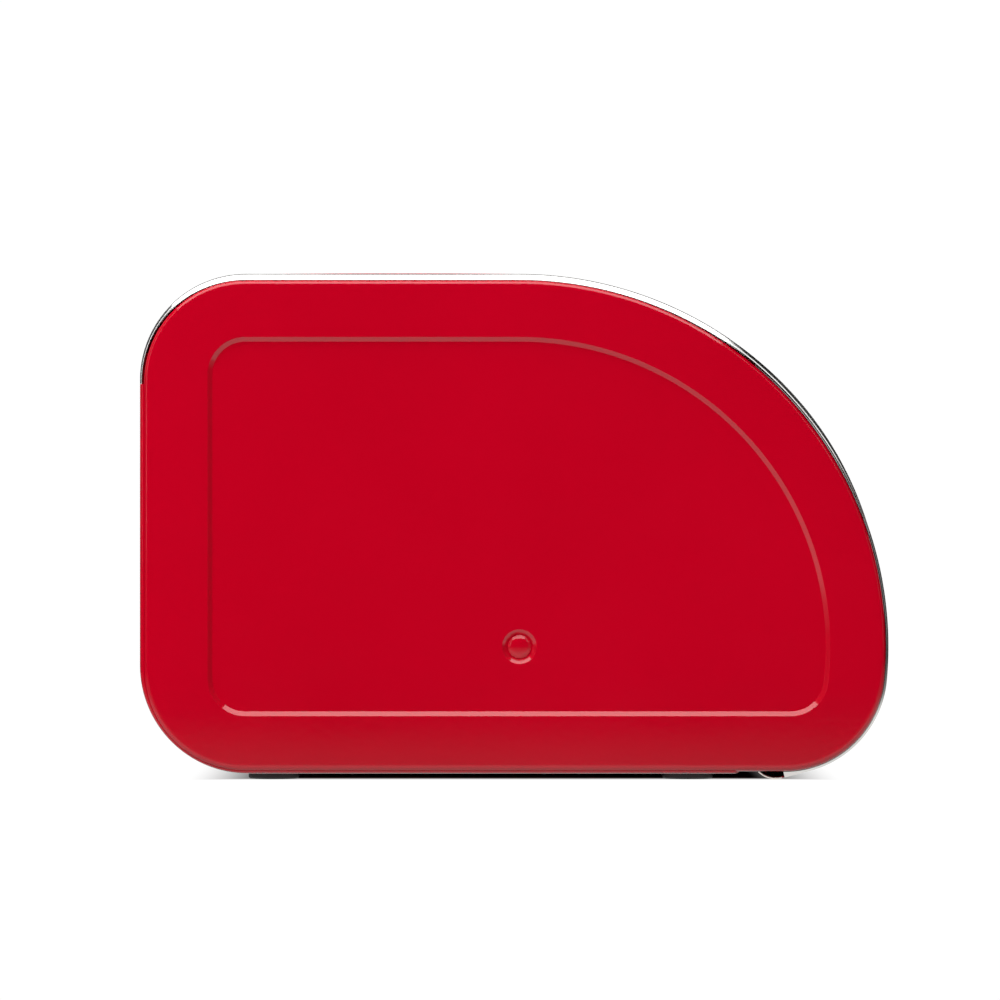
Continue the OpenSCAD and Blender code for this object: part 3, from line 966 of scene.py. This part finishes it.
def softbox(name, place, target, width, height, radiance, glossy=True, diffuse=True):
    """A rectangular light, aimed from a place at a target. Its brightness doesn't change with its size."""
    light = bpy.data.lights.new(name, "AREA")
    light.shape = "RECTANGLE"
    light.size = width
    light.size_y = height
    light.energy = radiance * width * height * math.pi
    obj = bpy.data.objects.new(name, light)
    bpy.context.scene.collection.objects.link(obj)
    obj.location = place
    obj.rotation_mode = "QUATERNION"
    obj.rotation_quaternion = (Vector(target) - Vector(place)).to_track_quat("-Z", "Y")
    obj.visible_camera = False
    obj.visible_glossy = glossy
    obj.visible_diffuse = diffuse


softbox("overhead_gloss", (-0.2, -1.0, 1.5), (-0.2, -1.0, 0), 2.4, 1.8, 3.9, diffuse=False)
softbox("overhead_rear_gloss", (-0.1, 1.5, 1.5), (-0.1, 1.5, 0), 2.2, 1.4, 0.6, diffuse=False)
softbox("overhead_fill", (-0.35, -0.35, 1.2), (-0.35, -0.35, 0), 0.8, 1.8, 4.7, glossy=False)
softbox("front_fill", (-0.2, -1.3, 1.0), (-0.02, -0.2, 0.1), 0.9, 0.7, 2.7, glossy=False)
softbox("rear_fill", (0, 1.7, 0.8), (0, 0.2, 0.1), 1.6, 1.0, 2.6, glossy=False)
softbox("floor_bounce", (0, -0.75, 0.003), (0, -0.75, 1), 2.2, 1.0, 0.42, glossy=False)
softbox("left_strip", (-1.7, 0.5, 0.75), (0, -0.2, 0.1), 0.4, 1.2, 0.8, diffuse=False)
softbox("right_strip", (1.45, -1.15, 0.5), (0.1, -0.2, 0.15), 0.32, 1.0, 0.4, diffuse=False)
softbox("upper_left_strip", (-1.45, -1.2, 0.7), (-0.12, -0.22, 0.13), 0.2, 1.35, 2.4, diffuse=False)
softbox("upper_right_strip", (1.08, -1.12, 1.1), (0.07, -0.22, 0.13), 0.24, 0.9, 1.8, diffuse=False)
for side, x, wall, fill in (("left", -1, 0.085, 2.2), ("right", 1, 0.04, 0.6)):
    softbox(f"fill_{side}", (x * 1.3, -1.5, 0.5), (0, -0.2, 0.1), 1.0, 0.8, fill, glossy=False)
    softbox(f"wall_{side}", (x * 2.2, -0.9, 0.9), (0, -0.2, 0.2), 2.6, 2.6, wall, diffuse=False)
    softbox(f"rear_{side}", (x * 1.3, 1.5, 0.7), (0, 0.2, 0.1), 0.5, 1.2, 1.6, diffuse=False)

world = bpy.data.worlds.new("studio")
world.use_nodes = True
world.node_tree.nodes["Background"].inputs[0].default_value = (1, 1, 1, 1)
world.node_tree.nodes["Background"].inputs[1].default_value = 0.16
world.cycles_visibility.glossy = False
world.cycles_visibility.camera = False
bpy.context.scene.world = world

# ---------------------------------------------------------------- camera
VIEW_DISTANCE = 2.5
VIEW_WIDTH = 0.35437
VIEW_X, VIEW_Z = -0.0051, 0.0996
camera = bpy.data.objects.new("camera", bpy.data.cameras.new("camera"))
bpy.context.scene.collection.objects.link(camera)
camera.data.sensor_width = 36
camera.data.lens = 36 * VIEW_DISTANCE / VIEW_WIDTH
camera.data.clip_start, camera.data.clip_end = 0.05, 40
camera.location = (VIEW_X, FACE_Y - VIEW_DISTANCE, VIEW_Z)
camera.rotation_euler = (math.radians(90), 0, 0)
bpy.context.scene.camera = camera
bpy.context.scene.view_settings.view_transform = "Standard"
bpy.context.scene.view_settings.look = "None"
